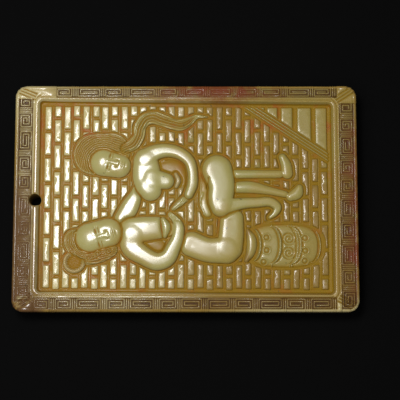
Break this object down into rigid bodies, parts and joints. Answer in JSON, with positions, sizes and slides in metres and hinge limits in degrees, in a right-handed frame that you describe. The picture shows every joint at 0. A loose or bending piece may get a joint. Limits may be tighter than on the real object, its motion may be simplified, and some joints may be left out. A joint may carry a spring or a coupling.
{
  "type": "jade pendant",
  "caption": "Flat rectangular jade plaque with a carved relief in a key-fret border, drilled through one end so that it hangs from a cord.",
  "frame": {"origin": "middle of the plaque's flat back, on the surface it lies on", "axes": "+X along the plaque's length, away from the end with the cord hole; +Y across its width; +Z out of the carved face"},
  "size_m": [0.068, 0.045, 0.0065],
  "materials": {
    "jade": "polished yellow-green jade with russet and brown staining in the grooves and along the rim"
  },
  "bodies": {
    "root": {"jade_plaque": "jade"}
  },
  "joints": []
}
